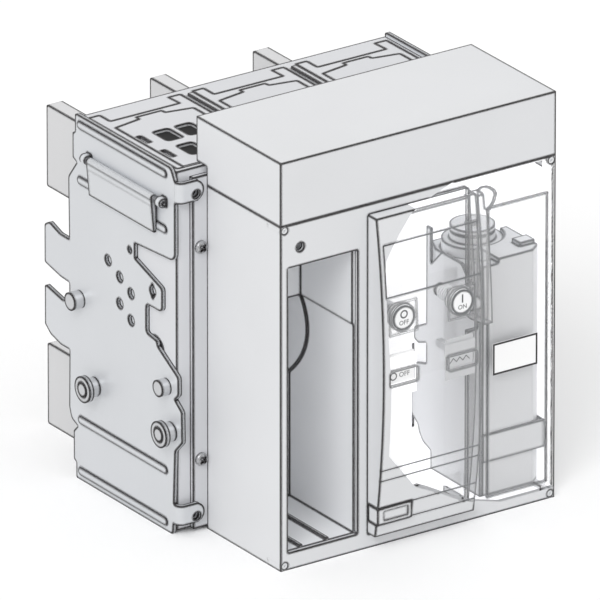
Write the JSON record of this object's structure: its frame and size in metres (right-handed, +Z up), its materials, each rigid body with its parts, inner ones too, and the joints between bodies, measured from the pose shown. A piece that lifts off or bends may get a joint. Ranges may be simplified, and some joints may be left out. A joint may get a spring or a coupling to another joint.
{
  "type": "drawout circuit breaker",
  "caption": "Withdrawable low-voltage power circuit breaker unit with moulded front, empty control bay, clear motor window, slotted side plates and rear blades.",
  "frame": {"origin": "middle of the footprint, on the surface the unit stands on", "axes": "+Z up, +Y from the front cover to the rear blades, +X to the right seen from the front"},
  "size_m": [0.231, 0.266, 0.2467],
  "materials": {
    "moulded_grey": "fine moulded texture",
    "moulded_white": "smooth moulded",
    "clear_window": "clear polycarbonate",
    "sheet_steel": "zinc-plated sheet",
    "bright_steel": "turned, zinc-plated",
    "motor_grey": "smooth painted",
    "blade_metal": "silver-plated copper",
    "copper": "bare copper",
    "dark_plastic": "moulded",
    "label": "blank label",
    "spring_steel": "oiled spring wire"
  },
  "bodies": {
    "breaker": {"front_cover": "moulded_grey", "cover_window": "clear_window", "terminal_hood": "moulded_grey", "bay_liner": "moulded_grey", "fascia": "moulded_grey", "fascia_window": "clear_window", "indicator_lenses": "clear_window", "cover_screws": "bright_steel", "rating_plate": "label", "mounting_frame": "moulded_grey", "frame_screws": "bright_steel", "mechanism_shroud": "moulded_white", "motor_barrier": "moulded_white", "aux_terminals": "dark_plastic", "side_plate_left": "sheet_steel", "side_plate_right": "sheet_steel", "guide_studs": "bright_steel", "roller_pins": "bright_steel", "grip_pins": "bright_steel", "grip_springs": "spring_steel", "pole_case": "moulded_grey", "arc_chute_left": "moulded_grey", "arc_chute_middle": "moulded_grey", "arc_chute_right": "moulded_grey", "chute_covers": "moulded_grey", "splitter_plates": "sheet_steel", "upper_blade_left": "blade_metal", "upper_blade_middle": "blade_metal", "upper_blade_right": "blade_metal", "lower_blade_left": "blade_metal", "lower_blade_middle": "blade_metal", "lower_blade_right": "blade_metal", "contact_pins": "bright_steel", "current_sensors": "dark_plastic", "mechanism_plates": "sheet_steel", "closing_spring": "spring_steel", "lever_pin": "bright_steel", "button_springs": "spring_steel", "motor_plate": "motor_grey", "motor_housing": "motor_grey", "motor_can": "motor_grey", "motor_strap": "motor_grey"},
    "pole_shaft": {"pole_shaft": "bright_steel"},
    "contact_arms": {"contact_arms": "copper"},
    "drive_rod": {"drive_rod": "bright_steel"},
    "charging_shaft": {"charging_shaft": "bright_steel"},
    "spring_plunger": {"spring_plunger": "bright_steel"},
    "charging_lever": {"charging_lever": "moulded_white"},
    "off_button": {"off_button": "moulded_white"},
    "on_button": {"on_button": "moulded_white"},
    "position_flag": {"position_flag": "moulded_white"},
    "spring_flag": {"spring_flag": "moulded_white"},
    "padlock_tab": {"padlock_tab": "moulded_grey"},
    "grip_left": {"grip_left": "sheet_steel"},
    "grip_right": {"grip_right": "sheet_steel"},
    "roller_front_left": {"roller_front_left": "bright_steel"},
    "roller_rear_left": {"roller_rear_left": "bright_steel"},
    "roller_front_right": {"roller_front_right": "bright_steel"},
    "roller_rear_right": {"roller_rear_right": "bright_steel"},
    "motor_coupling": {"motor_coupling": "bright_steel"}
  },
  "joints": [
    {"name": "pole_shaft_turn", "type": "hinge", "parent": "breaker", "child": "pole_shaft", "pos_m": [0, -0.0165, 0.105], "axis": [1, 0, 0], "range_deg": [0, 25.24], "stiffness_Nm_per_rad": 2, "springref_deg": -28.65},
    {"name": "contact_arms_turn", "type": "hinge", "parent": "breaker", "child": "contact_arms", "pos_m": [0, 0.0045, 0.06], "axis": [-1, 0, 0], "range_deg": [0, 12.01]},
    {"name": "drive_rod_slide", "type": "slide", "parent": "breaker", "child": "drive_rod", "axis": [0, -1, 0], "range_m": [0, 0.0062]},
    {"name": "position_flag_slide", "type": "slide", "parent": "breaker", "child": "position_flag", "axis": [0, 0, -1], "range_m": [0, 0.0091]},
    {"name": "charging_shaft_turn", "type": "hinge", "parent": "breaker", "child": "charging_shaft", "pos_m": [0.0044, -0.0545, 0.078], "axis": [-1, 0, 0], "range_deg": [0, 180], "stiffness_Nm_per_rad": 0.4, "springref_deg": -28.65},
    {"name": "spring_plunger_slide", "type": "slide", "parent": "breaker", "child": "spring_plunger", "axis": [0, 0, 1], "range_m": [0, 0.0081], "deforming": ["closing_spring"]},
    {"name": "spring_flag_slide", "type": "slide", "parent": "breaker", "child": "spring_flag", "axis": [0, 0, -1], "range_m": [0, 0.0091]},
    {"name": "charging_lever_swing", "type": "hinge", "parent": "breaker", "child": "charging_lever", "pos_m": [0.0439, -0.1155, 0.1324], "axis": [1, 0, 0], "range_deg": [0, 85], "stiffness_Nm_per_rad": 0.15, "springref_deg": -22.92},
    {"name": "off_button_press", "type": "slide", "parent": "breaker", "child": "off_button", "axis": [0, 1, 0], "range_m": [0, 0.004], "stiffness_N_per_m": 400, "springref_m": -0.001, "deforming": ["button_springs"]},
    {"name": "on_button_press", "type": "slide", "parent": "breaker", "child": "on_button", "axis": [0, 1, 0], "range_m": [0, 0.004], "stiffness_N_per_m": 400, "springref_m": -0.001, "deforming": ["button_springs"]},
    {"name": "padlock_tab_pull", "type": "slide", "parent": "breaker", "child": "padlock_tab", "axis": [0, -1, 0], "range_m": [0, 0.016]},
    {"name": "grip_left_swing", "type": "hinge", "parent": "breaker", "child": "grip_left", "pos_m": [-0.1087, 0.01, 0.1996], "axis": [0, 1, 0], "range_deg": [0, 95], "stiffness_Nm_per_rad": 0.02, "springref_deg": -22.92},
    {"name": "grip_right_swing", "type": "hinge", "parent": "breaker", "child": "grip_right", "pos_m": [0.1087, 0.01, 0.1996], "axis": [0, -1, 0], "range_deg": [0, 95], "stiffness_Nm_per_rad": 0.02, "springref_deg": -22.92},
    {"name": "roller_front_left_spin", "type": "hinge", "parent": "breaker", "child": "roller_front_left", "pos_m": [-0.1115, -0.0356, 0.0627], "axis": [1, 0, 0], "continuous": true},
    {"name": "roller_rear_left_spin", "type": "hinge", "parent": "breaker", "child": "roller_rear_left", "pos_m": [-0.1115, 0.0408, 0.0627], "axis": [1, 0, 0], "continuous": true},
    {"name": "roller_front_right_spin", "type": "hinge", "parent": "breaker", "child": "roller_front_right", "pos_m": [0.1115, -0.0356, 0.0627], "axis": [1, 0, 0], "continuous": true},
    {"name": "roller_rear_right_spin", "type": "hinge", "parent": "breaker", "child": "roller_rear_right", "pos_m": [0.1115, 0.0408, 0.0627], "axis": [1, 0, 0], "continuous": true},
    {"name": "motor_coupling_spin", "type": "hinge", "parent": "breaker", "child": "motor_coupling", "pos_m": [0.0729, -0.0711, 0.158], "axis": [0, 0, 1], "continuous": true}
  ],
  "couplings": [
    {"joint": "contact_arms_turn", "follows": "pole_shaft_turn", "ratio": 0.47536},
    {"joint": "drive_rod_slide", "follows": "pole_shaft_turn", "m_per_rad": 0.013887},
    {"joint": "position_flag_slide", "follows": "pole_shaft_turn", "m_per_rad": 0.020427},
    {"joint": "spring_plunger_slide", "follows": "charging_shaft_turn", "m_per_rad": 0.002546},
    {"joint": "spring_flag_slide", "follows": "charging_shaft_turn", "m_per_rad": 0.002864}
  ]
}
